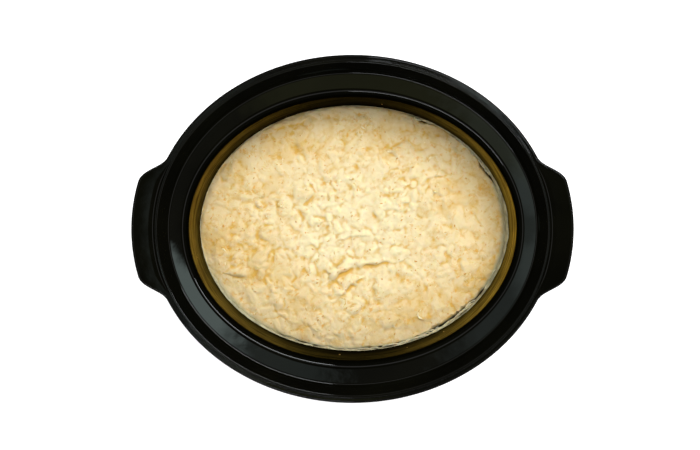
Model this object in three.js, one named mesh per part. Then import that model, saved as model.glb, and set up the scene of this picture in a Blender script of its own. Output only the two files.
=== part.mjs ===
// An oval stoneware pot with two lug handles, part filled with oat porridge.
// Millimetres, +Z up. The origin is under the middle of the foot, and +X runs through the lugs.

import * as THREE from 'three';
import { mergeVertices } from 'three/addons/utils/BufferGeometryUtils.js';

// Pot. Insets are measured inwards from the rim's outer edge, depths down from the lip's crest.
const RIM_A = 150.2; // half length of the rim, without the lugs
const RIM_B = 128.9; // half width of the rim
const WALL_EXTRA = 1.4; // how much longer and narrower than the rim's offset the inner wall is
const HEIGHT = 126;
const STRIP_DEPTH = 1.6; // flat strip outside the lip, which widens into the lugs
const STRIP = [2.6, 3.7]; // insets of its outer and inner side
const EDGE_DEPTH = 4.4; // where the rounding of the rim's edge ends
const SKIRT_DEPTH = 12.5;
const SKIRT_RADIUS = 3.5;
const CREST = [4.6, 5.4]; // insets of the lip's flat crest
const LEDGE_OUTER = [13.4, 8.4]; // inset and depth of the lid ledge at its outer side
const LEDGE_INNER = [23.6, 10];
const WALL_TOP = [28.4, 16];
const WALL_TAPER = 0.056; // inset gained for each millimetre of depth
const OUTER_WALL_TOP = [18, 18.5];
const OUTER_WALL_LOW = [26, 110];
const FLOOR = 8; // thickness of the floor
const FLOOR_RADIUS = 20;
const FOOT_RADIUS = 100;
const FOOT_WIDTH = 8;
const FOOT_RECESS = 1.5;

// Lug handles, drawn out of the rim's edge
const LUG_REACH = 13.6;
const LUG_HALF_FLAT = 32; // half of the full-reach stretch, along Y
const LUG_FALL = 21; // length of each shoulder, where the reach falls to nothing
const LUG_ROOT = 14; // inset where its underside starts

// Porridge
const GAP = 0.3;
const LEVEL_DEPTH = 56; // its level at the wall, below the lip's crest
const DOME = 3.5; // rise from the wall to the middle
const EDGE_DROP = 4; // rounding down at the wall
const LUMP = 0.9;
const TOP_RINGS = 13;

const SEGMENTS = 72;
const CROWDING = 0.3; // draws the segments together at the lugs
const CURVE_STEPS = 3;
const RIM_R = (RIM_A + RIM_B) / 2;
const OVAL = (RIM_A - RIM_B) / 2;

const { clamp, smoothstep } = THREE.MathUtils;

// The share of a lug's full reach at a distance y from its middle: 1 along the flat stretch,
// then a shoulder that rounds over and runs out tangent to the rim.
function lugShare(y) {
  const past = clamp((Math.abs(y) - LUG_HALF_FLAT) / LUG_FALL, 0, 1);
  return 0.5 + 0.5 * Math.cos(Math.PI * past);
}

// How far a point of the rim goes along with its edge where a lug is drawn out: 1 at the edge,
// 0 at the lip, in the mouth and at the lug's root.
function lugPull(inset, depth) {
  const above = depth < SKIRT_DEPTH - SKIRT_RADIUS;
  const [from, to] = above ? STRIP : [SKIRT_RADIUS, LUG_ROOT];
  return clamp((to - inset) / (to - from), 0, 1);
}

// Turns a round shape into the pot's oval: every ring keeps its distance from the rim, apart
// from WALL_EXTRA, and inside the foot the rings shrink evenly to the middle.
function ovalPoint(x, y, z) {
  const r = Math.hypot(x, y);
  const turn = Math.atan2(y, x);
  const angle = turn - CROWDING * Math.sin(2 * turn);
  const inset = RIM_R - r;
  const extra = WALL_EXTRA * smoothstep(inset, LEDGE_OUTER[0], WALL_TOP[0]);
  const stretch = (OVAL + extra) * Math.min(1, r / (FOOT_RADIUS - FOOT_WIDTH));
  const reach = LUG_REACH * lugShare(RIM_B * Math.sin(angle)) * lugPull(inset, HEIGHT - z);
  return [(r + stretch + reach) * Math.cos(angle), (r - stretch + reach) * Math.sin(angle)];
}

// A profile point given as inset and depth, as the radius and height that a lathe takes.
const at = (inset, depth) => [RIM_R - inset, HEIGHT - depth];

// A lathe faces outwards when its profile starts on the axis at the bottom. Its seam and its
// ends on the axis are merged, and triangles left flat there are dropped.
function ovalLathe(path) {
  const geometry = new THREE.LatheGeometry(path.getPoints(CURVE_STEPS), SEGMENTS);
  geometry.rotateX(Math.PI / 2);
  geometry.deleteAttribute('normal');
  geometry.deleteAttribute('uv');
  const position = geometry.attributes.position;
  for (let i = 0; i < position.count; i++) {
    const [x, y] = ovalPoint(position.getX(i), position.getY(i), position.getZ(i));
    position.setXY(i, x, y);
  }
  const merged = mergeVertices(geometry, 1e-3);
  const kept = [];
  for (let i = 0; i < merged.index.count; i += 3) {
    const corners = [0, 1, 2].map((k) => merged.index.getX(i + k));
    if (new Set(corners).size === 3) kept.push(...corners);
  }
  merged.setIndex(kept);
  return merged;
}

const wallInset = (depth) => WALL_TOP[0] + WALL_TAPER * (depth - WALL_TOP[1]);

// The straight wall inside and the rounded corner to the floor, as profile points from the
// middle of the floor up to a depth. clear moves them inwards, for what fills the pot.
function addInside(path, clear, toDepth) {
  const floorDepth = HEIGHT - FLOOR - clear;
  const cornerDepth = floorDepth - FLOOR_RADIUS;
  const inset = (depth) => wallInset(depth) + clear;
  path.moveTo(0, HEIGHT - floorDepth);
  path.lineTo(...at(inset(floorDepth) + FLOOR_RADIUS, floorDepth));
  path.quadraticCurveTo(
    ...at(inset(floorDepth), floorDepth),
    ...at(inset(cornerDepth), cornerDepth),
  );
  path.lineTo(...at(inset(toDepth), toDepth));
}

// Down from the lip's crest to the lid ledge, over its rounded inner edge and down the wall.
function addMouth(path) {
  path.quadraticCurveTo(...at(CREST[1] + 1.3, 0.2), ...at(CREST[1] + 2.6, 2.8));
  path.quadraticCurveTo(...at(LEDGE_OUTER[0] - 2.6, LEDGE_OUTER[1] - 0.4), ...at(...LEDGE_OUTER));
  path.lineTo(...at(...LEDGE_INNER));
  path.quadraticCurveTo(...at(WALL_TOP[0] - 0.4, LEDGE_INNER[1] + 0.6), ...at(...WALL_TOP));
}

// Up from under the foot, out along the flange's underside, round the rim's edge to the crest.
function addOutside(path) {
  path.moveTo(0, FOOT_RECESS);
  path.lineTo(FOOT_RADIUS - FOOT_WIDTH - FOOT_RECESS, FOOT_RECESS);
  path.lineTo(FOOT_RADIUS - FOOT_WIDTH, 0);
  path.lineTo(FOOT_RADIUS, 0);
  path.quadraticCurveTo(...at(OUTER_WALL_LOW[0] + 1, HEIGHT), ...at(...OUTER_WALL_LOW));
  path.lineTo(...at(...OUTER_WALL_TOP));
  path.quadraticCurveTo(
    ...at(OUTER_WALL_TOP[0] - 0.5, SKIRT_DEPTH),
    ...at(LUG_ROOT, SKIRT_DEPTH),
  );
  path.lineTo(...at(SKIRT_RADIUS, SKIRT_DEPTH));
  path.quadraticCurveTo(...at(0, SKIRT_DEPTH), ...at(0, SKIRT_DEPTH - SKIRT_RADIUS));
  path.lineTo(...at(0, EDGE_DEPTH));
  path.quadraticCurveTo(...at(0, STRIP_DEPTH), ...at(STRIP[0], STRIP_DEPTH));
  path.lineTo(...at(STRIP[1], STRIP_DEPTH));
  path.lineTo(...at(CREST[0], 0));
  path.lineTo(...at(CREST[1], 0));
}

function potGeometry() {
  const path = new THREE.Path();
  addOutside(path);
  addMouth(path);
  const inside = new THREE.Path();
  addInside(inside, 0, WALL_TOP[1] + 1);
  for (const point of inside.getPoints(CURVE_STEPS).reverse()) path.lineTo(point.x, point.y);
  return ovalLathe(path);
}

// A rounded fold along the line from one point to another, as a rise at x, y.
function fold(x, y, { from, to, width, rise }) {
  const along = new THREE.Line3(new THREE.Vector3(...from, 0), new THREE.Vector3(...to, 0));
  const here = new THREE.Vector3(x, y, 0);
  const nearest = along.closestPointToPoint(here, true, new THREE.Vector3());
  return rise * Math.exp(-((here.distanceTo(nearest) / width) ** 2));
}

// Where the spoon left the porridge folded over itself, and one hollow.
const FOLDS = [
  { from: [-20, -28], to: [4, -24], width: 9, rise: 2.2 },
  { from: [4, -24], to: [52, -23], width: 9, rise: 3 },
  { from: [0, -7], to: [16, -6], width: 7, rise: 1.6 },
  { from: [42, 33], to: [60, 38], width: 9, rise: 1.5 },
  { from: [-66, -10], to: [-62, -9], width: 10, rise: -2 },
];

// Height of the porridge above its level at the wall. share runs from 0 in the middle to 1 at
// the wall.
function porridgeRise(x, y, share) {
  const dome = DOME * (1 - share ** 4);
  const drop = EDGE_DROP * smoothstep(share, 0.93, 1);
  const wave = Math.sin(x / 11 + 1.3) * Math.cos(y / 9) + Math.sin((x - y) / 17) * 0.8;
  const folds = FOLDS.reduce((sum, each) => sum + fold(x, y, each), 0);
  return dome - drop + (LUMP * wave + folds) * (1 - share ** 6);
}

function porridgeGeometry() {
  const path = new THREE.Path();
  addInside(path, GAP, LEVEL_DEPTH + EDGE_DROP + 1);
  const edge = RIM_R - wallInset(LEVEL_DEPTH + EDGE_DROP) - GAP;
  const level = HEIGHT - LEVEL_DEPTH;
  for (let ring = TOP_RINGS; ring >= 0; ring--) {
    const share = 1 - (1 - ring / TOP_RINGS) ** 1.15;
    path.lineTo(edge * share, level);
  }
  const geometry = ovalLathe(path);
  const position = geometry.attributes.position;
  for (let i = 0; i < position.count; i++) {
    const x = position.getX(i);
    const y = position.getY(i);
    const share = Math.hypot(x / (edge + OVAL + WALL_EXTRA), y / (edge - OVAL - WALL_EXTRA));
    const onTop = Math.abs(position.getZ(i) - level) < 1e-3;
    if (onTop) position.setZ(i, level + porridgeRise(x, y, Math.min(1, share)));
  }
  return geometry;
}

const glaze = new THREE.MeshStandardMaterial({ color: 0x0d0c08, roughness: 0.1, metalness: 0 });
const oats = new THREE.MeshStandardMaterial({ color: 0xe9d3a0, roughness: 0.5, metalness: 0 });

function named(name, geometry, material) {
  geometry.computeVertexNormals();
  const mesh = new THREE.Mesh(geometry, material);
  mesh.name = name;
  return mesh;
}

const group = new THREE.Group();
group.add(named('oval_pot', potGeometry(), glaze));
group.add(named('porridge', porridgeGeometry(), oats));

export default group;
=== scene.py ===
"""An oval glazed stoneware pot, part filled with oat porridge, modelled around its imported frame."""

import math
import random

import bmesh
import bpy
import numpy as np
from bpy.props import FloatProperty, FloatVectorProperty, IntProperty, PointerProperty
from bpy.types import Operator, Panel, PropertyGroup
from mathutils import Matrix, Vector, noise


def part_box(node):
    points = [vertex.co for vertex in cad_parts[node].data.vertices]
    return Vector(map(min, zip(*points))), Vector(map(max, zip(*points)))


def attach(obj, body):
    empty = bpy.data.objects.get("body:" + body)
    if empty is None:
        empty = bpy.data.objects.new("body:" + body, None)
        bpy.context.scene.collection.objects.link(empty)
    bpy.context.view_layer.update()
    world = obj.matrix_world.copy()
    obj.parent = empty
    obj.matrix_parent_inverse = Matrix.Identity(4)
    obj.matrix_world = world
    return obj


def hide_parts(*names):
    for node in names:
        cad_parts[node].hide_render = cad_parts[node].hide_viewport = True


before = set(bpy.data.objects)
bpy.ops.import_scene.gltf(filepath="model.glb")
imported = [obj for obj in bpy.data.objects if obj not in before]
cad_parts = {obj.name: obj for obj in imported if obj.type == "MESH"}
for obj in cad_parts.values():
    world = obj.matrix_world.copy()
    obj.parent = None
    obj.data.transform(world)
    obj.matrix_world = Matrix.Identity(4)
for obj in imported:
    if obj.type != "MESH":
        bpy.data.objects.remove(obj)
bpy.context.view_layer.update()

bl_info = {
    "name": "Porridge in an Oval Pot",
    "version": (1, 0, 0),
    "blender": (4, 5, 0),
    "location": "View3D > Sidebar > Porridge",
    "description": "Builds a glazed oval pot, its porridge and the loose oats, bran and smears",
    "category": "Object",
}

MM = 0.001
SEAM = 0.02 * MM  # vertices closer than this are merged where a rolled-up grid closes
BODY = "root"
POT_NODE = "oval_pot"
PORRIDGE_NODE = "porridge"
GLAZE_SLOT = "black_glaze"
PORRIDGE_SLOT = "oat_porridge"

pot_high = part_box(POT_NODE)[1]


# ---------------------------------------------------------------- settings


def length(name, description, default):
    return FloatProperty(
        name=name, description=description, default=default, unit="LENGTH", precision=5
    )


def number(name, description, default, least=0):
    return IntProperty(name=name, description=description, default=default, min=least)


def colour(name, description, default):
    return FloatVectorProperty(
        name=name, description=description, default=default, subtype="COLOR", size=3, min=0, max=1
    )


class PotSettings(PropertyGroup):
    """Sizes of the pot. Insets run inwards from the rim's edge, depths down from the lip."""

    lug_reach: length("Lug reach", "How far each lug stands out past the rim", 13.6 * MM)
    lug_half_flat: length("Lug half width", "Half of a lug's straight stretch", 32 * MM)
    lug_fall: length("Lug shoulder", "Stretch where a lug runs out into the rim", 21 * MM)
    skirt_depth: length("Rim thickness", "From the lip's crest to the underside", 12.5 * MM)
    strip_depth: length("Strip depth", "Flat strip outside the lip, below the crest", 1.6 * MM)
    ledge_depth: length("Ledge depth", "Lid ledge at its outer side, below the crest", 8.3 * MM)
    wall_inset: length("Wall inset", "Inner wall's top, inwards from the rim's edge", 28.4 * MM)
    wall_depth: length("Wall start", "Depth where the inner wall starts", 16 * MM)
    wall_taper: FloatProperty(
        name="Wall taper", description="Inset gained for each unit of depth", default=0.056
    )
    floor: length("Floor thickness", "Stoneware under the porridge", 8 * MM)
    turns: number("Turns", "Steps round the oval", 256, 32)
    glaze: colour("Glaze", "Black glaze", (0.0014, 0.0014, 0.0006))
    # The amber band on the inner wall, partly a starch residue and partly a painted reflection of the
    # porridge.
    film_and_painted_reflection: colour("Film", "Dried starch on the inner wall", (0.30, 0.23, 0.042))
    clay: colour("Clay", "Unglazed stoneware of the foot", (0.33, 0.26, 0.18))


class PorridgeSettings(PropertyGroup):
    """Level, lumps and colours of the porridge."""

    level_depth: length("Level", "Porridge at the wall, below the lip's crest", 56 * MM)
    dome: length("Dome", "Rise from the wall to the middle", 3.5 * MM)
    edge_drop: length("Edge drop", "Rounding down at the wall", 1.8 * MM)
    lumps: number("Lumps", "Flakes and clumps sunk in the surface", 1150)
    cells: number("Cells", "Grid cells along the pot", 340, 40)
    seed: number("Seed", "Start of every random draw", 11)
    cream: colour("Cream", "Smooth cooked oats", (0.92, 0.80, 0.50))
    # Tan is also used as painted shade in the porridge's creases and hollows.
    tan: colour("Tan", "Thin and hollow places", (0.68, 0.42, 0.09))
    # Paste colour is also used as painted shade on the porridge's sloping edge.
    paste: colour("Paste", "Thin grey-green paste at the wall", (0.56, 0.55, 0.37))
    fleck: colour("Fleck", "Orange stains round the bran", (0.74, 0.39, 0.07))
    bran: colour("Bran", "Bran slivers", (0.55, 0.29, 0.06))
    speck: colour("Speck", "Dark specks", (0.20, 0.15, 0.09))


class OatSettings(PropertyGroup):
    """The loose things on the porridge and on the wall."""

    flakes: number("Flakes", "Loose oat flakes", 170)
    flake: length("Flake length", "Mean length of a cooked flake", 7.6 * MM)
    bran: number("Bran slivers", "Bran slivers in the surface", 360)
    specks: number("Specks", "Dark specks", 90)
    splashes: number("Splashes", "Dried drops on the wall", 9)


class StageSettings(PropertyGroup):
    """Camera, light and floor."""

    camera_height: length("Camera height", "Camera above the lip's crest", 0.75)
    view_width: length("View width", "What the view spans at the lip's crest", 0.5154)
    floor_size: length("Floor size", "Side of the floor", 14.0)
    floor: colour("Floor", "White floor", (0.93, 0.93, 0.93))


# ---------------------------------------------------------------- shape of the pot


class Oval:
    """Turns round shapes into the pot's oval and says where its inner wall is."""

    crowding = 0.3  # draws the steps together at the lugs
    wall_extra = 1.4 * MM  # how much longer and narrower than the rim's offset the inner wall is
    extra_from = 13.4 * MM
    foot = 92 * MM
    strip = (2.6 * MM, 3.7 * MM)  # insets between which a lug's top runs out
    skirt_radius = 3.5 * MM
    root_inset = 14 * MM  # where a lug's underside starts

    def __init__(self, pot):
        self.pot = pot
        self.height = pot_high.z
        self.half_width = pot_high.y
        self.half_length = pot_high.x - pot.lug_reach
        self.radius = (self.half_length + self.half_width) / 2
        self.stretch = (self.half_length - self.half_width) / 2

    def profile_point(self, inset, depth):
        return self.radius - inset, self.height - depth

    def lug_share(self, y):
        past = (abs(y) - self.pot.lug_half_flat) / self.pot.lug_fall
        return 0.5 + 0.5 * math.cos(math.pi * min(max(past, 0), 1))

    def lug_pull(self, inset, depth):
        above = depth < self.pot.skirt_depth - self.skirt_radius
        start, end = self.strip if above else (self.skirt_radius, self.root_inset)
        return min(max((end - inset) / (end - start), 0), 1)

    def extra(self, inset):
        start = self.extra_from
        share = min(max((inset - start) / (self.pot.wall_inset - start), 0), 1)
        return self.wall_extra * share * share * (3 - 2 * share)

    def place(self, point):
        """Where a point of the round pot lies on the oval one."""
        r = point.xy.length
        turn = math.atan2(point.y, point.x)
        angle = turn - self.crowding * math.sin(2 * turn)
        inset = self.radius - r
        stretch = (self.stretch + self.extra(inset)) * min(1, r / self.foot)
        share = self.lug_share(self.half_width * math.sin(angle))
        reach = self.pot.lug_reach * share * self.lug_pull(inset, self.height - point.z)
        x = (r + stretch + reach) * math.cos(angle)
        y = (r - stretch + reach) * math.sin(angle)
        return Vector((x, y, point.z))

    def wall_inset(self, depth):
        return self.pot.wall_inset + self.pot.wall_taper * (depth - self.pot.wall_depth)

    def wall(self, depth):
        """Half length and half width of the inner wall at a depth below the lip's crest."""
        inset = self.wall_inset(depth)
        return (
            self.half_length + self.wall_extra - inset,
            self.half_width - self.wall_extra - inset,
        )


# ---------------------------------------------------------------- mesh helpers


def add_piece(mesh, slot, finishes, *replaced):
    """A smooth piece with its finishes, on the body, and the solids it stands for hidden. The slot is
    not used.
    """
    piece = bpy.data.objects.new(mesh.name, mesh)
    bpy.context.scene.collection.objects.link(piece)
    mesh.polygons.foreach_set("use_smooth", [True] * len(mesh.polygons))
    for finish in finishes:
        mesh.materials.append(finish)
    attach(piece, BODY)
    if replaced:
        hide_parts(*replaced)


def to_mesh(bm, name, merge=0.0):
    """Where asked, merges doubles and points the faces outwards; then hands over a mesh."""
    if merge:
        bmesh.ops.remove_doubles(bm, verts=bm.verts, dist=merge)
        bmesh.ops.recalc_face_normals(bm, faces=bm.faces)
    mesh = bpy.data.meshes.new(name)
    bm.to_mesh(mesh)
    bm.free()
    return mesh


def rounded_profile(bm, corners):
    """A wire through the corners (radius, height, rounding), with each corner rounded."""
    verts = [bm.verts.new((r, 0, z)) for r, z, _ in corners]
    for start, end in zip(verts, verts[1:]):
        bm.edges.new((start, end))
    for vert, (_, _, rounding) in zip(verts, corners):
        if rounding:
            steps = 3 if rounding < MM else 8
            bmesh.ops.bevel(
                bm, geom=[vert], offset=rounding, offset_type="OFFSET", segments=steps,
                profile=0.5, affect="VERTICES", material=-1, clamp_overlap=False,
            )


FOOT_RECESS = 1.5 * MM
LEDGE_START = 12.6 * MM  # inset of the lid ledge's outer side
LEDGE_SLOPE = 0.148
CLAY_TOP = 1.6 * MM  # height up to which the foot is bare clay
FILM_INSET = 27 * MM  # the inner wall's finish starts this far inwards and down
FILM_DEPTH = 11 * MM


def pot_corners(oval):
    """The pot's section, from the axis under the foot over the rim to the axis on the floor.

    Corners without a rounding lie on the flat parts and keep their shading flat.
    """
    pot = oval.pot
    at = oval.profile_point
    floor_depth = oval.height - pot.floor

    def ledge(inset):
        return at(inset, pot.ledge_depth + (inset - LEDGE_START) * LEDGE_SLOPE)

    return [
        (0, FOOT_RECESS, 0),
        (oval.foot - FOOT_RECESS, FOOT_RECESS, 0.7 * MM),
        (oval.foot, 0, 0.5 * MM),
        (112.5 * MM, 0, 13 * MM),
        (*at(17.6 * MM, pot.skirt_depth), 3 * MM),
        (*at(0, pot.skirt_depth), 3.5 * MM),
        (*at(0, pot.strip_depth), 2.2 * MM),
        (*at(2.25 * MM, pot.strip_depth), 0),
        (*at(3.36 * MM, pot.strip_depth), 0),
        (*at(3.7 * MM, pot.strip_depth), 0.3 * MM),
        (*at(4.3 * MM, 0), 0.5 * MM),
        (*at(6.0 * MM, 0), 0.9 * MM),
        (*ledge(LEDGE_START), 1.1 * MM),
        (*ledge(14 * MM), 0),
        (*ledge(22.8 * MM), 0),
        (*at(28.1 * MM, pot.ledge_depth + 2.3 * MM), 5 * MM),
        (*at(oval.wall_inset(17 * MM), 17 * MM), 0),
        (*at(oval.wall_inset(floor_depth), floor_depth), 20 * MM),
        (0, pot.floor, 0),
    ]


def finish_at(oval, place):
    """Index of the finish at a place on the round pot: glaze, the amber band of starch and painted
    reflection, or bare clay.
    """
    if place.z < CLAY_TOP:
        return 2
    inset = oval.radius - place.xy.length
    inside = oval.pot.floor * 0.9 < place.z < oval.height - FILM_DEPTH
    return 1 if inside and inset > FILM_INSET else 0


def build_pot(oval):
    """Spins the rounded section, then draws the round pot out into the oval with its lugs."""
    bm = bmesh.new()
    rounded_profile(bm, pot_corners(oval))
    bmesh.ops.spin(
        bm, geom=bm.verts[:] + bm.edges[:], cent=(0, 0, 0), axis=(0, 0, 1),
        angle=2 * math.pi, steps=oval.pot.turns, use_merge=True,
    )
    bmesh.ops.remove_doubles(bm, verts=bm.verts, dist=1e-6)
    for face in bm.faces:
        face.material_index = finish_at(oval, face.calc_center_median())
    for vert in bm.verts:
        vert.co = oval.place(vert.co)
    bmesh.ops.recalc_face_normals(bm, faces=bm.faces)
    return to_mesh(bm, "glazed_pot")


# ---------------------------------------------------------------- surface of the porridge


def smooth_step(low, high, x):
    share = np.clip((x - low) / (high - low), 0, 1)
    return share * share * (3 - 2 * share)


def noise_field(x, y, size, shift, octaves=1):
    """Perlin noise from about -1 to 1 at each point."""
    points = np.column_stack((x / size + shift, y / size - shift))
    total = np.zeros(len(points))
    for octave in range(octaves):
        scale = 2.0**octave
        values = [noise.noise((a * scale, b * scale, shift + octave)) for a, b in points]
        total += np.array(values) / scale
    return total


# Folds that the spoon left: points along the crease, as shares of the porridge's half length
# and half width, then the rise of the ridge above it and the ridge's width.
FOLDS = [
    ([(-0.13, -0.42), (-0.04, -0.36), (0.07, -0.315), (0.18, -0.29), (0.30, -0.265)], 2.6, 9.0),
    ([(-0.05, -0.085), (0.07, -0.07)], 0.9, 6.0),
    ([(-0.055, -0.52), (0.025, -0.44)], 1.3, 6.0),
    ([(0.37, 0.35), (0.44, 0.35), (0.49, 0.395), (0.54, 0.415)], 1.5, 7.0),
    ([(0.64, 0.62), (0.64, 0.48)], 1.0, 5.0),
    ([(0.79, 0.10), (0.84, 0.03)], 1.0, 5.0),
    ([(-0.39, -0.46), (-0.30, -0.52)], 1.0, 7.0),
    ([(-0.81, -0.38), (-0.74, -0.41), (-0.64, -0.36)], 1.0, 6.0),
    ([(0.22, 0.145), (0.33, 0.145)], 0.8, 5.0),
    ([(-0.52, 0.78), (-0.46, 0.83), (-0.35, 0.865)], 1.6, 6.0),
]


# Where the porridge has pulled away from the wall: direction and spread in degrees, then the
# gap in millimetres.
BAYS = [
    (62, 5, 2.7), (47, 4, 1.4), (30, 7, 3.4), (10, 4, 0.5), (318, 11, 4.2), (301, 12, 2.8),
    (278, 11, 2.1), (246, 7, 1.6), (258, 3, 1.4), (92, 12, 0.5), (140, 6, 0.4), (176, 5, 0.2),
]


def bay_gap(turn):
    """How far the porridge has pulled away from the wall in a direction, in millimetres."""
    total = 0
    for middle, spread, gap in BAYS:
        off = (turn - math.radians(middle) + np.pi) % (2 * np.pi) - np.pi
        total = total + gap * np.exp(-((off / math.radians(spread)) ** 2))
    return total


class PorridgeSurface:
    """Height of the porridge at any place, for its own mesh and for what lies on it."""

    def __init__(self, oval, settings, oats):
        self.oval = oval
        self.settings = settings
        self.level = oval.height - settings.level_depth
        self.half_length, self.half_width = oval.wall(settings.level_depth + settings.edge_drop)
        self.lumps = self.sunk_lumps(oats)

    def sunk_lumps(self, oats):
        """Flakes and clumps in the surface: middle, length, width, turn, rise and tilt."""
        draw = random.Random(self.settings.seed)
        lumps = []
        for index in range(self.settings.lumps):
            share = math.sqrt(draw.random()) * 0.985
            turn = draw.uniform(0, 2 * math.pi)
            middle = (
                self.half_length * share * math.cos(turn),
                self.half_width * share * math.sin(turn),
            )
            clump = index % 3 == 0
            size = draw.uniform(7, 17) * MM if clump else oats.flake * draw.uniform(0.5, 1.2)
            rise = draw.uniform(0.5, 1.9) if clump else draw.uniform(0.15, 0.75)
            lumps.append(
                (middle, size, size * draw.uniform(0.5, 0.85), draw.uniform(0, math.pi),
                 rise * MM, draw.uniform(-0.8, 0.8))
            )
        return lumps

    def share(self, x, y):
        return np.hypot(x / self.half_length, y / self.half_width)

    def fold(self, x, y, crease, rise, width):
        """A rounded ridge that drops steeply into a crease along its lower side."""
        points = np.array(crease) * (self.half_length, self.half_width)
        best = np.full(len(x), 1e9)
        side = np.ones(len(x))
        for start, end in zip(points, points[1:]):
            run = end - start
            reach = np.hypot(*run)
            along = ((x - start[0]) * run[0] + (y - start[1]) * run[1]) / reach**2
            held = np.clip(along, 0, 1)
            off_x = x - start[0] - held * run[0]
            off_y = y - start[1] - held * run[1]
            away = np.hypot(off_x, off_y)
            nearer = away < best
            best = np.where(nearer, away, best)
            side = np.where(nearer, np.sign(run[0] * off_y - run[1] * off_x), side)
        signed = best * side / (width * MM)
        ridge = smooth_step(-0.1, 0.34, signed) * (1 - smooth_step(0.6, 1.2, signed))
        hollow = smooth_step(-0.8, -0.05, signed) * (1 - smooth_step(-0.05, 0.15, signed))
        return rise * MM * (ridge - 0.35 * hollow)

    def laps(self, x, y, size, shift, steps, lean):
        """Lobes lapped over each other: each rises slowly and ends in a steep rounded front."""
        level = steps * noise_field(x, y, size, shift, 2) + y / lean
        part = level - np.floor(level)
        return smooth_step(0.5, 1.0, part) - part + 0.28

    def lump_field(self, x, y, cover):
        rise = np.zeros(len(x))
        for (cx, cy), size, breadth, turn, height, tilt in self.lumps:
            near = np.flatnonzero((np.abs(x - cx) < size) & (np.abs(y - cy) < size))
            dx, dy = x[near] - cx, y[near] - cy
            along = (dx * math.cos(turn) + dy * math.sin(turn)) / (size / 2)
            across = (dy * math.cos(turn) - dx * math.sin(turn)) / (breadth / 2)
            body = 1 - smooth_step(0.35, 1.2, np.hypot(along, across))
            lift = height * (1 + tilt * along) * body * cover[near]
            rise[near] = np.maximum(rise[near], lift) + 0.3 * np.minimum(rise[near], lift)
        return rise

    def heights(self, x, y):
        """Rise above the level at the wall, in metres."""
        settings = self.settings
        share = np.minimum(self.share(x, y), 1)
        bend = 2.4 * MM
        bent_x = x + bend * noise_field(x, y, 11 * MM, 3.1, 2)
        bent_y = y + bend * noise_field(x, y, 11 * MM, 8.7, 2)
        # Lumpier in patches and towards the front, calmer near the wall
        patches = noise_field(x, y, 30 * MM, 5.5, 2)
        lumpy = 0.6 + 0.4 * smooth_step(-0.35, 0.3, patches - y / 0.9 + 0.3 * (share - 0.3))
        lumpy *= 1 - 0.35 * smooth_step(0.6, 0.95, share)
        broken = smooth_step(-0.15, 0.35, noise_field(x, y, 24 * MM, 31.5))
        torn = smooth_step(-0.1, 0.35, noise_field(x, y, 15 * MM, 41.5))
        # From the widest relief to the finest: swell, lapped lobes, lumps, sunk flakes and grain
        rise = settings.dome * (1 - share**4) + 1.3 * MM * noise_field(x, y, 40 * MM, 1.7)
        rise += 1.3 * MM * broken * self.laps(bent_x, bent_y, 30 * MM, 2.3, 1.6, 80 * MM)
        rise += 0.65 * MM * torn * self.laps(bent_x, bent_y, 16 * MM, 7.3, 1.1, 50 * MM)
        rise += (0.5 + 0.5 * lumpy) * 2.4 * MM * self.billows(bent_x, bent_y, 17 * MM, 6.6)
        rise += lumpy * 0.7 * MM * self.billows(bent_x, bent_y, 8 * MM, 4.9)
        rise += self.lump_field(bent_x, bent_y, lumpy)
        rise += lumpy * 0.45 * MM * noise_field(bent_x, bent_y, 3.6 * MM, 15.2)
        rise += lumpy * 0.2 * MM * noise_field(x, y, 1.9 * MM, 9.4)
        uneven = 0.75 + noise_field(x, y, 9 * MM, 14.4)
        for crease, height, width in FOLDS:
            rise += uneven * self.fold(bent_x, bent_y, crease, height, width)
        ragged = 0.02 * noise_field(x, y, 7 * MM, 12.2, 2)
        gap = bay_gap(np.arctan2(y / self.half_width, x / self.half_length))
        drop = settings.edge_drop * (0.4 + 0.8 * np.minimum(gap, 1))
        return rise - drop * smooth_step(0.978, 1.0, share + ragged)

    def billows(self, x, y, size, shift):
        """Rounded lumps that meet in creases."""
        return np.sqrt(noise_field(x, y, size, shift, 2) ** 2 + 0.008)

    def moat(self, turn):
        """Gap between the porridge and the wall at its edge, wider where it has pulled away."""
        width = 0.06 + bay_gap(turn)
        wave = noise_field(np.cos(turn) * 100 * MM, np.sin(turn) * 80 * MM, 7 * MM, 21.0, 3)
        return np.maximum(width + (0.1 + 0.9 * width) * wave, 0.03) * MM


def grid_to_disc(x, y):
    return x * np.sqrt(1 - y * y / 2), y * np.sqrt(1 - x * x / 2)


def coordinates(mesh):
    values = np.zeros(len(mesh.vertices) * 3)
    mesh.vertices.foreach_get("co", values)
    return values.reshape(-1, 3)


def edge_average(values, pairs, count):
    """Each vertex's mean over its neighbours."""
    start, end = pairs[:, 0], pairs[:, 1]
    total = np.bincount(start, values[end], count) + np.bincount(end, values[start], count)
    neighbours = np.bincount(start, minlength=count) + np.bincount(end, minlength=count)
    return total / np.maximum(neighbours, 1)


# The porridge's side, ring by ring: how far below the edge in millimetres, how much of the gap
# to the wall is left, and how far it goes into the wall in millimetres.
SIDE = [(2.5, 0.45, 0), (6.0, 0.1, 0), (12.0, 0, 0.3)]


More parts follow.
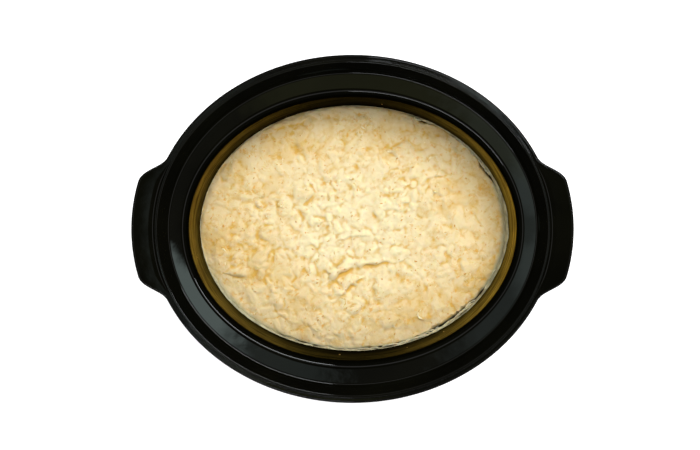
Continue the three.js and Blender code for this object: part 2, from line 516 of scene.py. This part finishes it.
def build_porridge(surface):
    """A disc shaped into the lumpy surface, with a side that runs down into the wall."""
    settings = surface.settings
    bm = bmesh.new()
    across = int(settings.cells * surface.half_width / surface.half_length)
    bmesh.ops.create_grid(bm, x_segments=settings.cells, y_segments=across, size=1)
    flat = np.array([vert.co for vert in bm.verts])
    u, v = grid_to_disc(flat[:, 0], flat[:, 1])
    out = np.hypot(u, v)
    turn = np.arctan2(v, u)
    pulled = 1 - surface.moat(turn) / surface.half_width * smooth_step(0.8, 1.0, out)
    x, y = u * surface.half_length * pulled, v * surface.half_width * pulled
    rise = surface.heights(x, y)
    for vert, a, b, h in zip(bm.verts, x, y, rise):
        vert.co = (a, b, surface.level + h)
    rim = [edge for edge in bm.edges if edge.is_boundary]
    for drop, gap, past in SIDE:
        made = bmesh.ops.extrude_edge_only(bm, edges=rim)["geom"]
        rim = [item for item in made if isinstance(item, bmesh.types.BMEdge)]
        depth = settings.level_depth + settings.edge_drop + drop * MM
        length_here, width_here = surface.oval.wall(depth)
        for vert in (item for item in made if isinstance(item, bmesh.types.BMVert)):
            angle = math.atan2(vert.co.y / width_here, vert.co.x / length_here)
            now = math.hypot(vert.co.x / length_here, vert.co.y / width_here)
            share = 1 - (1 - now) * gap + past * MM / width_here
            vert.co.x = length_here * share * math.cos(angle)
            vert.co.y = width_here * share * math.sin(angle)
            vert.co.z = surface.oval.height - depth
    bmesh.ops.holes_fill(bm, edges=rim, sides=0)
    mesh = to_mesh(bm, "porridge_surface")
    store_hollows(mesh)
    return mesh


def store_hollows(mesh):
    """Stores how far each vertex lies below its near and its wider surroundings, in millimetres."""
    heights = coordinates(mesh)[:, 2]
    pairs = np.zeros(len(mesh.edges) * 2, int)
    mesh.edges.foreach_get("vertices", pairs)
    pairs = pairs.reshape(-1, 2)
    smooth = heights
    for name, more_rounds in (("crease", 10), ("hollow", 90)):
        for _ in range(more_rounds):
            smooth = edge_average(smooth, pairs, len(heights))
        attribute = mesh.attributes.new(name, "FLOAT", "POINT")
        attribute.data.foreach_set("value", (smooth - heights) / MM)


# ---------------------------------------------------------------- loose things


def scatter_places(surface, count, seed):
    """Random places on the porridge, off its edge, with the surface's upward direction there."""
    draw = random.Random(seed)
    spots = []
    for _ in range(count):
        share = 0.95 * math.sqrt(draw.random())
        turn = draw.uniform(0, 2 * math.pi)
        spots.append((share * math.cos(turn), share * math.sin(turn)))
    x, y = (np.array(spots) * (surface.half_length, surface.half_width)).T
    step = 1.2 * MM
    z = surface.heights(x, y)
    slope_x = (surface.heights(x + step, y) - surface.heights(x - step, y)) / (2 * step)
    slope_y = (surface.heights(x, y + step) - surface.heights(x, y - step)) / (2 * step)
    places = []
    for a, b, c, dx, dy in zip(x, y, z, slope_x, slope_y):
        normal = Vector((-dx, -dy, 1)).normalized()
        places.append((Vector((a, b, surface.level + c)), normal))
    return places


def lie(place, normal, turn, tilt=0.0):
    """Turns a flat shape onto a slope, spun by turn and tipped by tilt, and moves it there."""
    onto = normal.to_track_quat("Z", "Y").to_matrix().to_4x4()
    spin = Matrix.Rotation(turn, 4, "Z")
    tip = Matrix.Rotation(tilt, 4, "X")
    return Matrix.Translation(place) @ onto @ spin @ tip


def flake_template(bm, draw):
    """A cooked oat flake of length 1: an uneven oval with a dent along it and a raised rim."""
    made = bmesh.ops.create_grid(bm, x_segments=6, y_segments=6, size=1)["verts"]
    bend = draw.uniform(-0.1, 0.16)
    bite = draw.uniform(0, 2 * math.pi)
    for vert in made:
        u, v = grid_to_disc(vert.co.x, vert.co.y)
        out = math.hypot(u, v)
        turn = math.atan2(v, u)
        edge = 1 + 0.10 * math.sin(3 * turn + bite) + 0.07 * math.sin(5 * turn - bite)
        dent = -0.05 * math.exp(-((v / 0.22) ** 2)) * (1 - out)
        lip = 0.02 * out**4
        vert.co = (0.5 * u * edge, 0.36 * v * edge, dent + lip + bend * u * u)
    faces = list({face for vert in made for face in vert.link_faces})
    bmesh.ops.solidify(bm, geom=faces, thickness=0.09)


def build_flakes(surface, oats):
    bm = bmesh.new()
    draw = random.Random(surface.settings.seed + 5)
    places = scatter_places(surface, oats.flakes, surface.settings.seed + 6)
    for place, normal in places:
        one = bmesh.new()
        flake_template(one, draw)
        size = oats.flake * draw.uniform(0.7, 1.08)
        pose = lie(place, normal, draw.uniform(0, math.pi), draw.uniform(-0.22, 0.22))
        sink = Matrix.Translation(-normal * draw.uniform(0.45, 1.0) * MM)
        bmesh.ops.transform(one, matrix=sink @ pose @ Matrix.Scale(size, 4), verts=one.verts)
        part = bpy.data.meshes.new("flake")
        one.to_mesh(part)
        one.free()
        bm.from_mesh(part)
        bpy.data.meshes.remove(part)
    bmesh.ops.recalc_face_normals(bm, faces=bm.faces)
    return to_mesh(bm, "oat_flakes")


def build_scraps(surface, name, count, seed, sizes, proportions, sink):
    """Small lens-shaped scraps lying in the surface, with random length and direction.

    sizes are in millimetres, proportions are breadth and thickness, sink is a share of the size.
    """
    bm = bmesh.new()
    draw = random.Random(seed)
    for place, normal in scatter_places(surface, count, seed + 1):
        size = draw.uniform(*sizes) * MM
        breadth, thick = (draw.uniform(*pair) for pair in proportions)
        shape = Matrix.Diagonal((size / 2, size / 2 * breadth, size / 2 * thick, 1))
        pose = lie(place - normal * size * sink, normal, draw.uniform(0, math.pi))
        bmesh.ops.create_icosphere(bm, subdivisions=1, radius=1, matrix=pose @ shape)
    return to_mesh(bm, name)


# Where torn strands hang between the porridge and the wall: start and end in degrees, and how
# many strands.
TORN = [(16, 70, 20), (170, 184, 2), (236, 292, 18), (284, 345, 28)]

# Thin paste on the wall above the porridge: direction and spread in degrees, then how far it
# climbs above the porridge's level in millimetres. Elsewhere it ends PASTE_REST below the level.
PASTE = [(0, 30, 10.0), (318, 22, 4.5), (280, 22, 1.5), (222, 28, 4.0), (48, 14, 2.5)]
PASTE_REST = 2.5
PASTE_START = 3.5  # how far below the level it starts


def paste_climb(angle):
    """Height of the paste's ragged upper edge at an angle round the pot, in millimetres."""
    degrees = math.degrees(angle)
    climb = -PASTE_REST
    for middle, spread, rise in PASTE:
        off = (degrees - middle + 180) % 360 - 180
        climb = max(climb, rise * math.exp(-((off / spread) ** 2)))
    ring = Vector((math.cos(angle), math.sin(angle), 0))
    return climb * (1 + 0.35 * noise.noise(ring * 9)) + 0.9 * noise.noise(ring * 40)


def build_paste(surface):
    """A thin uneven skin that clings to the wall from below the porridge to its ragged edge."""
    bm = bmesh.new()
    made = bmesh.ops.create_grid(bm, x_segments=540, y_segments=10, size=1)["verts"]
    below = PASTE_START
    for vert in made:
        angle = math.pi * (vert.co.x + 1)
        round_turn = math.pi * (vert.co.y + 1)
        climb = paste_climb(angle)
        up = (climb - below) / 2 + (climb + below) / 2 * math.sin(round_turn)
        z = surface.level + up * MM
        ring = Vector((math.cos(angle), math.sin(angle), 0))
        bulge = 1 + 0.8 * noise.noise(ring * 22 + Vector((0, 0, up * 0.25)))
        fullness = min(max((climb + 1) / 4, 0.1), 1) / (1 + bay_gap(angle))
        thick = (0.3 + 0.9 * (climb - up) / (climb + below)) * bulge * fullness * MM
        wall_length, wall_width = surface.oval.wall(surface.oval.height - z)
        away = thick * (0.6 + math.cos(round_turn))
        vert.co = ((wall_length - away) * ring.x, (wall_width - away) * ring.y, z)
    return to_mesh(bm, "wall_paste", merge=SEAM)


def build_smears(surface):
    """Lumpy tapering strands that hang between the porridge's torn edge and the wall."""
    bm = bmesh.new()
    draw = random.Random(surface.settings.seed + 50)
    # Each strand's start and span in degrees, then its height, thickness and bow in millimetres
    strands = [
        (draw.uniform(start, end - 3), draw.uniform(3, 11), draw.uniform(-1.5, 3.0),
         draw.uniform(0.35, 1.1), draw.uniform(-0.2, 2.0))
        for start, end, count in TORN for _ in range(count)
    ]
    for index, (start, span, height, thick, bow) in enumerate(strands):
        steps = max(8, int(span * 2.2))
        made = bmesh.ops.create_grid(bm, x_segments=steps, y_segments=8, size=1)["verts"]
        for vert in made:
            along = (vert.co.x + 1) / 2
            round_turn = math.pi * (vert.co.y + 1)
            angle = math.radians(start + span * along)
            wander = noise.noise((angle * 12, index, 0.5))
            lump = 1 + 0.9 * noise.noise((angle * 35, index, round_turn * 0.4))
            swell = math.sin(math.pi * along)
            size = thick * MM * swell**0.6 * lump
            up = (height - 1.5 + 1.8 * wander) * MM
            z = surface.level + up + 1.4 * size * math.sin(round_turn)
            wall_length, wall_width = surface.oval.wall(surface.oval.height - z)
            away = 0.35 * size + 0.8 * size * math.cos(round_turn) + bow * MM * swell
            vert.co.x = (wall_length - away) * math.cos(angle)
            vert.co.y = (wall_width - away) * math.sin(angle)
            vert.co.z = z
    return to_mesh(bm, "wall_smears", merge=SEAM)


def build_splashes(surface, count):
    """Dried drops on the wall above the porridge."""
    bm = bmesh.new()
    draw = random.Random(surface.settings.seed + 31)
    for _ in range(count):
        angle = draw.uniform(0, 2 * math.pi)
        z = surface.level + draw.uniform(4, 26) * MM
        wall_length, wall_width = surface.oval.wall(surface.oval.height - z)
        cos, sin = math.cos(angle), math.sin(angle)
        place = Vector((wall_length * cos, wall_width * sin, z))
        inwards = Vector((-cos / wall_length, -sin / wall_width, 0)).normalized()
        size = draw.uniform(0.3, 0.8) * MM
        shape = Matrix.Diagonal((size, size * draw.uniform(0.8, 1.6), size * 0.45, 1))
        pose = lie(place, inwards, 0)
        bmesh.ops.create_icosphere(bm, subdivisions=2, radius=1, matrix=pose @ shape)
    return to_mesh(bm, "wall_splashes")


# ---------------------------------------------------------------- shaders


class Socket:
    """A shader node's output. Arithmetic on it adds Math nodes."""

    def __init__(self, graph, output):
        self.graph = graph
        self.output = output

    def math(self, operation, *values):
        return self.graph.node("Math", {"operation": operation}, values)

    def __add__(self, other):
        return self.math("ADD", self, other)

    def __sub__(self, other):
        return self.math("SUBTRACT", self, other)

    def __rsub__(self, other):
        return self.math("SUBTRACT", other, self)

    def __mul__(self, other):
        return self.math("MULTIPLY", self, other)

    def __truediv__(self, other):
        return self.math("DIVIDE", self, other)

    __radd__ = __add__
    __rmul__ = __mul__

    def step(self, low, high):
        """0 below low, 1 above high and smooth between."""
        values = {"Value": self, "From Min": low, "From Max": high}
        return self.graph.node("MapRange", {"interpolation_type": "SMOOTHSTEP"}, values)


class Graph:
    """The nodes of a material or of the sky, with the shader that takes their values."""

    def __init__(self, owner, shader="Principled BSDF"):
        owner.use_nodes = True
        self.owner = owner
        self.tree = owner.node_tree
        self.shader = self.tree.nodes[shader]

    def node(self, kind, settings=None, values=(), output=0):
        """Adds a node: its settings first, then its sockets by name or in order."""
        node = self.tree.nodes.new("ShaderNode" + kind)
        for key, value in (settings or {}).items():
            if key == "stops":
                self.set_stops(node.color_ramp.elements, value)
            else:
                setattr(node, key, value)
        pairs = values.items() if isinstance(values, dict) else enumerate(values)
        for key, value in pairs:
            self.put(node.inputs[key], value)
        return Socket(self, node.outputs[output])

    def set_stops(self, elements, stops):
        """Sets a ramp's positions and their greys."""
        while len(elements) < len(stops):
            elements.new(0.5)
        for element, (position, value) in zip(elements, stops):
            element.position = position
            element.color = (value, value, value, 1)

    def put(self, socket, value):
        if isinstance(value, Socket):
            self.tree.links.new(value.output, socket)
        elif socket.type == "RGBA":
            socket.default_value = (*value, 1)
        else:
            socket.default_value = value

    def set(self, **values):
        """Sets or links the shader's sockets, named with underscores."""
        for key, value in values.items():
            socket = key.replace("_", " ").title().replace("Ior", "IOR")
            self.put(self.shader.inputs[socket], value)

    def object_place(self, scale=(1, 1, 1)):
        place = self.node("TexCoord", output="Object")
        return self.node("Mapping", {}, {"Vector": place, "Scale": scale})

    def noise(self, scale, detail=2.0, roughness=0.5, stretch=(1, 1, 1), distortion=0.0):
        values = {
            "Vector": self.object_place(stretch), "Scale": scale, "Detail": detail,
            "Roughness": roughness, "Distortion": distortion,
        }
        return self.node("TexNoise", {}, values)

    def mix(self, factor, low, high):
        return self.node("Mix", {"data_type": "RGBA"}, {0: factor, 6: low, 7: high}, 2)

    def bump(self, height, distance, strength=1.0):
        values = {"Height": height, "Distance": distance, "Strength": strength}
        return self.node("Bump", {}, values, "Normal")


def new_material(name):
    return Graph(bpy.data.materials.new(name))


def shade(value, amount):
    return tuple(min(1, channel * amount) for channel in value)


def glaze_material(settings):
    """Black glaze with faint clouds and a slightly wavy surface."""
    g = new_material("black_glaze")
    clouds = g.noise(22, 3)
    g.set(
        base_color=g.mix(clouds.step(0.35, 0.7), settings.glaze, shade(settings.glaze, 1.8)),
        roughness=0.015 + 0.035 * g.noise(60, 2),
        normal=g.bump(g.noise(30, 2) + 0.08 * g.noise(150, 2), 0.14 * MM),
        ior=1.5,
    )
    return g.owner


def film_and_painted_reflection_material(oval, level):
    """The inner wall: black at the top, with a streaky amber band above the porridge, partly a layer
    of starch and partly a painted reflection of the porridge.

    Just above the porridge the band is painted dark, as painted shade and a painted reflection of
    the porridge's shaded edge. The amber is strongest at the pot's two ends, and is painted
    lighter at the right one as painted light.
    """
    settings = oval.pot
    g = new_material("starch_film_and_painted_reflection")
    place = g.object_place()
    height = g.node("SeparateXYZ", {}, {"Vector": place}, "Z")
    along = g.node("SeparateXYZ", {}, {"Vector": place}, "X") * (1 / oval.half_length)
    around = g.node("SeparateXYZ", {}, {"Vector": place}, "Y") * (1 / oval.half_width)
    ends = along * along / (along * along + around * around)
    streaks = g.noise(24, 4, 0.6, (1, 1, 12), 0.6)
    fine = g.noise(75, 4, 0.65, (1, 1, 10), 0.4)
    top = oval.height - settings.wall_depth
    film_and_painted_reflection = 1 - (height + 2 * MM * streaks).step(top - 1.5 * MM, top + 2.5 * MM)
    # Painted shade: the band is painted dark just above the porridge, for its shadow and the
    # reflection of its shaded edge.
    film_and_painted_reflection = film_and_painted_reflection * (0.2 + 0.8 * height.step(level + 4 * MM, level + 30 * MM))
    film_and_painted_reflection = film_and_painted_reflection * (0.07 + 0.93 * ends) * (0.45 + 0.55 * streaks.step(0.36, 0.58))
    # Painted light: both ambers are painted lighter towards the pot's right end.
    right = along.step(0.2, 0.9)
    dark, pale = (
        g.mix(right, shade(settings.film_and_painted_reflection, left_amount), shade(settings.film_and_painted_reflection, right_amount))
        for left_amount, right_amount in ((0.45, 0.9), (1.2, 2.3))
    )
    amber = g.mix(fine.step(0.36, 0.64), dark, pale)
    g.set(
        base_color=g.mix(film_and_painted_reflection, settings.glaze, amber),
        metallic=0.45 * film_and_painted_reflection,
        roughness=0.25 + 0.2 * fine,
        normal=g.bump(streaks + 0.4 * fine, 0.12 * MM),
        ior=1.4,
        specular_ior_level=0.0,
        specular_tint=(0.5, 0.3, 0.06),
    )
    return g.owner


def clay_material(settings):
    """Bare stoneware with grit."""
    g = new_material("bare_clay")
    grit = g.noise(900, 3)
    g.set(
        base_color=g.mix(grit, shade(settings.clay, 0.7), settings.clay),
        roughness=0.75 + 0.2 * grit,
        normal=g.bump(grit, 0.15 * MM),
    )
    return g.owner


def porridge_material(surface):
    """Cream cooked oats, tan in creases, hollows and blotches, partly as painted shade, with a
    painted highlight on raised places, painted shade towards the wall and a near-black painted
    shade on the side that sinks into the gap at the wall.
    """
    settings = surface.settings
    g = new_material("oat_porridge")
    crease = g.node("Attribute", {"attribute_name": "crease"}, output="Fac")
    hollow = g.node("Attribute", {"attribute_name": "hollow"}, output="Fac")
    place = g.object_place()
    height = g.node("SeparateXYZ", {}, {"Vector": place}, "Z")
    right = g.node("SeparateXYZ", {}, {"Vector": place}, "X") * (1 / surface.half_length)
    front = g.node("SeparateXYZ", {}, {"Vector": place}, "Y") * (-1 / surface.half_width)
    shrink = (1 / surface.half_length, 1 / surface.half_width, 0)
    scaled = g.node("VectorMath", {"operation": "MULTIPLY"}, (place, shrink))
    share = g.node("VectorMath", {"operation": "LENGTH"}, (scaled,), "Value")
    blotch = g.noise(32, 4, 0.6, distortion=0.6)
    mottle = g.noise(120, 5, 0.66, distortion=0.9)
    fleck = g.noise(300, 3, 0.6, distortion=0.5)
    outer = share.step(0.15, 0.95)
    # Tan gathers in creases and hollows, partly the oats' own colour and partly painted shade there,
    # and in blotches that grow denser towards the wall
    tan = 0.85 * crease.step(0.0, 0.5) * (0.35 + 0.9 * mottle) + 0.38 * hollow.step(-0.2, 1.6)
    tan = tan + 0.5 * outer * blotch.step(0.44, 0.60)
    tan = tan + (0.2 + 0.45 * outer) * mottle.step(0.48, 0.68)
    tan = g.node("Clamp", {}, {"Value": tan * 0.85})
    stain = fleck.step(0.56, 0.66) * mottle.step(0.44, 0.58) * (0.45 + 0.55 * outer)
    light = g.mix(blotch, shade(settings.cream, 1.1), settings.cream)
    # Painted highlight and shade: raised places take the lighter cream, creases a darker cream
    cream = g.mix(crease.step(-0.4, 0.1), light, shade(settings.cream, 0.93))
    # Painted shade: darker towards the wall, which shades the porridge, with a browner tone there
    browner_and_painted_shade = tuple(value * kept for value, kept in zip(settings.cream, (0.87, 0.805, 0.72)))
    cream = g.mix(share.step(0.2, 0.9), cream, browner_and_painted_shade)
    body = g.mix(tan, cream, settings.tan)
    body = g.mix(0.85 * stain, body, settings.fleck)
    # A grey-green edge of paste colour, mostly at the right and in front, partly thin paste and
    # partly painted shade where the edge slopes down to the wall
    pasty_edge_and_painted_shade = (0.15 + right.step(0.8, 0.97) + front.step(0.15, 0.6)) * share.step(0.955, 0.99)
    pasty_edge_and_painted_shade = g.node("Clamp", {}, {"Value": 0.7 * pasty_edge_and_painted_shade})
    body = g.mix(pasty_edge_and_painted_shade, body, shade(settings.paste, 0.75))
    # Painted shade: near-black where the side sinks low into the gap at the wall
    painted_deep_shade = 1 - height.step(surface.level - 6.5 * MM, surface.level - 3.6 * MM)
    body = g.mix(0.95 * painted_deep_shade, body, (0.03, 0.027, 0.012))
    grain = g.noise(650, 4, 0.6)
    lumps = g.noise(260, 3, 0.55)
    g.set(
        base_color=body,
        roughness=0.42 + 0.2 * mottle,
        normal=g.bump(lumps + 0.6 * grain, 0.5 * MM, 0.7),
        ior=1.4,
        specular_ior_level=0.4,
        subsurface_weight=0.3,
        subsurface_radius=(1.0, 0.6, 0.2),
        subsurface_scale=1.6 * MM,
    )
    return g.owner


def paste_material(settings, level):
    """Porridge smeared thinly up the wall: cream where it is thick, grey-green where it ends."""
    g = new_material("thin_paste")
    height = g.node("SeparateXYZ", {}, {"Vector": g.object_place()}, "Z")
    noise_here = g.noise(160, 3, 0.6)
    spots = noise_here.step(0.35, 0.65)
    cream = g.mix(spots, shade(settings.cream, 0.6), shade(settings.cream, 0.8))
    thin = g.mix(spots, shade(settings.paste, 0.6), settings.paste)
    g.set(
        base_color=g.mix(height.step(level - 1 * MM, level + 3 * MM), cream, thin),
        roughness=0.35 + 0.2 * noise_here,
        normal=g.bump(g.noise(400, 3), 0.2 * MM),
    )
    return g.owner


def soft_material(name, light, dark, scale, rough, scatter=0.2):
    """Small wet scraps: two colours mixed by noise, with a fine bump."""
    g = new_material(name)
    spots = g.noise(scale, 3, 0.6)
    g.set(
        base_color=g.mix(spots.step(0.35, 0.65), dark, light),
        roughness=rough + 0.2 * spots,
        normal=g.bump(g.noise(scale * 2.5, 3), 0.2 * MM),
        subsurface_weight=scatter,
        subsurface_radius=(1.0, 0.6, 0.25),
        subsurface_scale=1.5 * MM,
    )
    return g.owner


def floor_material(settings):
    """White paper lit from behind, so that it takes hardly any shadow."""
    g = new_material("white_floor")
    g.set(
        base_color=g.mix(g.noise(1.2, 2), shade(settings.floor, 0.99), settings.floor),
        roughness=0.9,
        emission_color=settings.floor,
        emission_strength=0.75,
        specular_ior_level=0.0,
    )
    return g.owner


# ---------------------------------------------------------------- operators


def settings_of(context):
    return context.scene.porridge_pot


def oval_of(context):
    return Oval(settings_of(context).pot)


def surface_of(context):
    made = settings_of(context)
    return PorridgeSurface(oval_of(context), made.porridge, made.oats)


class PORRIDGE_OT_pot(Operator):
    """Builds the glazed oval pot with its lugs and lid ledge"""

    bl_idname = "porridge.pot"
    bl_label = "Glazed pot"

    def execute(self, context):
        oval = oval_of(context)
        level = oval.height - settings_of(context).porridge.level_depth
        finishes = (glaze_material(oval.pot), film_and_painted_reflection_material(oval, level), clay_material(oval.pot))
        add_piece(build_pot(oval), GLAZE_SLOT, finishes, POT_NODE)
        return {"FINISHED"}


class PORRIDGE_OT_porridge(Operator):
    """Builds the porridge's lumpy surface and its side against the wall"""

    bl_idname = "porridge.porridge"
    bl_label = "Porridge"

    def execute(self, context):
        surface = surface_of(context)
        finish = porridge_material(surface)
        add_piece(build_porridge(surface), PORRIDGE_SLOT, [finish], PORRIDGE_NODE)
        return {"FINISHED"}


class PORRIDGE_OT_oats(Operator):
    """Lays oat flakes, bran slivers and dark specks on the porridge"""

    bl_idname = "porridge.oats"
    bl_label = "Flakes, bran and specks"

    def execute(self, context):
        surface = surface_of(context)
        settings = surface.settings
        oats = settings_of(context).oats
        bran, speck = settings.bran, settings.speck
        slivers = build_scraps(
            surface, "bran_slivers", oats.bran, settings.seed + 12,
            sizes=(0.7, 2.6), proportions=((0.25, 0.6), (0.15, 0.3)), sink=0.02,
        )
        specks = build_scraps(
            surface, "dark_specks", oats.specks, settings.seed + 20,
            sizes=(0.25, 0.55), proportions=((0.5, 1.0), (0.35, 0.6)), sink=0.05,
        )
        kinds = [
            (build_flakes(surface, oats),
             soft_material("cooked_flake", settings.cream, settings.tan, 300, 0.35)),
            (slivers, soft_material("bran", shade(bran, 1.5), bran, 900, 0.4)),
            (specks, soft_material("speck", shade(speck, 1.8), speck, 1500, 0.5, scatter=0)),
        ]
        for mesh, finish in kinds:
            add_piece(mesh, PORRIDGE_SLOT, [finish])
        return {"FINISHED"}


class PORRIDGE_OT_smears(Operator):
    """Leaves smears and splashes of porridge on the pot's wall"""

    bl_idname = "porridge.smears"
    bl_label = "Smears and splashes"

    def execute(self, context):
        surface = surface_of(context)
        splashes = settings_of(context).oats.splashes
        settings = surface.settings
        pale, thin = shade(settings.cream, 0.75), shade(settings.paste, 0.8)
        amber, brown = shade(settings.tan, 0.7), shade(settings.tan, 0.4)
        kinds = [
            (build_smears(surface), soft_material("dried_strand", pale, thin, 260, 0.4)),
            (build_paste(surface), paste_material(settings, surface.level)),
            (build_splashes(surface, splashes),
             soft_material("dried_drop", amber, brown, 400, 0.5)),
        ]
        for mesh, finish in kinds:
            add_piece(mesh, PORRIDGE_SLOT, [finish])
        return {"FINISHED"}


# Brightness of the sky by its angle from straight up, in degrees: dim overhead, a narrow ring
# that draws thin lines on the rim, a dark horizon, and a glow from below that shows the wall.
SKY = [
    (0, 0.06), (8, 0.07), (11, 0.02), (20, 0.015), (29, 0.02), (34, 0.5), (42, 0.5), (47, 0.015),
    (97, 0.015), (105, 0.6), (180, 0.6),
]

GREY = (0.80, 1.0, 0.95)
OLIVE = (0.95, 1.0, 0.35)
WARM = (1.0, 0.99, 0.98)
PALE_BLUE = (0.93, 0.97, 1.0)

# Panels overhead that the lid ledge mirrors: direction round, angle from straight up and reach
# in degrees, then brightness and tint.
PANELS = [
    (38, 6, 4.2, 2.1, GREY), (82, 7, 1.6, 0.3, GREY), (188, 7, 6, 0.4, GREY),
    (220, 8, 5, 0.25, GREY), (150, 7, 5, 0.33, GREY), (247, 8.5, 6, 0.15, OLIVE),
]

# Lights: name, place, length and width, watts, tint, and whether the glaze mirrors them.
LIGHTS = [
    ("key", (0.46, 0.84, 1.75), (1.2, 1.2), 20.5, WARM, False),
    ("fill", (0, 0, 2.1), (2.6, 2.6), 27, (1, 1, 1), False),
    ("window", (0.68, 1.04, 1.45), (1.4, 0.12), 6.5, PALE_BLUE, True),
    ("far_window", (-0.55, -1.08, 1.45), (1.2, 0.08), 2.4, PALE_BLUE, True),
]

EYE = (8.8 * MM, 9.7 * MM)  # how far the camera stands off the middle of the pot
SHIFT = (-0.0206, -0.0132)  # its lens shift


def add_light(name, place, size, power, tint, mirrored):
    """A rectangular light that shines at the middle of the pot."""
    light = bpy.data.lights.new(name, "AREA")
    light.shape = "RECTANGLE"
    light.size, light.size_y = size
    light.energy = power
    light.color = tint
    lamp = bpy.data.objects.new(name, light)
    lamp.location = place
    down = Vector((0, 0, pot_high.z / 2)) - Vector(place)
    lamp.rotation_euler = down.to_track_quat("-Z", "Y").to_euler()
    lamp.visible_glossy = mirrored
    bpy.context.scene.collection.objects.link(lamp)


class PORRIDGE_OT_stage(Operator):
    """Sets up the camera, the soft light and the white floor"""

    bl_idname = "porridge.stage"
    bl_label = "Stage"

    def execute(self, context):
        stage = settings_of(context).stage
        scene = context.scene
        bm = bmesh.new()
        bmesh.ops.create_grid(bm, x_segments=8, y_segments=8, size=stage.floor_size / 2)
        floor = bpy.data.objects.new("floor", to_mesh(bm, "floor"))
        scene.collection.objects.link(floor)
        floor.data.materials.append(floor_material(stage))
        floor.visible_glossy = False

        camera = bpy.data.cameras.new("camera")
        camera.sensor_width = 36
        camera.lens = camera.sensor_width * stage.camera_height / stage.view_width
        camera.shift_x, camera.shift_y = SHIFT
        eye = bpy.data.objects.new("camera", camera)
        eye.location = (*EYE, pot_high.z + stage.camera_height)
        scene.collection.objects.link(eye)
        scene.camera = eye

        for light in LIGHTS:
            add_light(*light)
        self.set_sky(scene)
        scene.view_settings.view_transform = "Standard"
        return {"FINISHED"}

    def set_sky(self, scene):
        """A sky that is white to the camera and shows SKY and PANELS to everything else."""
        scene.world = bpy.data.worlds.new("sky")
        g = Graph(scene.world, "Background")
        towards = g.node("TexCoord", output="Generated")
        up = g.node("SeparateXYZ", {}, {"Vector": towards}, "Z")
        stops = [(degrees / 180, brightness) for degrees, brightness in SKY]
        glow = g.node("ValToRGB", {"stops": stops}, (up.math("ARCCOSINE", up) / math.pi,))
        for around, tilt, reach, brightness, tint in PANELS:
            around, tilt, reach = (math.radians(angle) for angle in (around, tilt, reach))
            flat = math.sin(tilt)
            middle = (flat * math.cos(around), flat * math.sin(around), math.cos(tilt))
            near = g.node("VectorMath", {"operation": "DOT_PRODUCT"}, (towards, middle), "Value")
            panel = brightness * near.step(math.cos(reach), math.cos(0.6 * reach))
            glow = g.node("VectorMath", {"operation": "MULTIPLY_ADD"}, (panel, tint, glow))
        sight = g.node("LightPath", output="Is Camera Ray")
        g.set(color=g.mix(sight, glow, (1, 1, 1)))


class PORRIDGE_PT_panel(Panel):
    """Lists the pieces and their settings"""

    bl_idname = "PORRIDGE_PT_panel"
    bl_label = "Porridge in an Oval Pot"
    bl_space_type = "VIEW_3D"
    bl_region_type = "UI"
    bl_category = "Porridge"

    def draw(self, context):
        made = settings_of(context)
        for operator in OPERATORS:
            self.layout.operator(operator.bl_idname)
        for group in (made.pot, made.porridge, made.oats, made.stage):
            box = self.layout.box()
            for name in group.__annotations__:
                box.prop(group, name)


class PorridgePotSettings(PropertyGroup):
    """Everything that can be changed."""

    pot: PointerProperty(type=PotSettings)
    porridge: PointerProperty(type=PorridgeSettings)
    oats: PointerProperty(type=OatSettings)
    stage: PointerProperty(type=StageSettings)


OPERATORS = (
    PORRIDGE_OT_pot,
    PORRIDGE_OT_porridge,
    PORRIDGE_OT_oats,
    PORRIDGE_OT_smears,
    PORRIDGE_OT_stage,
)
CLASSES = (
    PotSettings,
    PorridgeSettings,
    OatSettings,
    StageSettings,
    PorridgePotSettings,
    *OPERATORS,
    PORRIDGE_PT_panel,
)


def register():
    for each in CLASSES:
        bpy.utils.register_class(each)
    bpy.types.Scene.porridge_pot = PointerProperty(type=PorridgePotSettings)


def unregister():
    del bpy.types.Scene.porridge_pot
    for each in reversed(CLASSES):
        bpy.utils.unregister_class(each)


def main():
    register()
    bpy.ops.porridge.stage()
    bpy.ops.porridge.pot()
    bpy.ops.porridge.porridge()
    bpy.ops.porridge.oats()
    bpy.ops.porridge.smears()


if __name__ == "__main__":
    main()
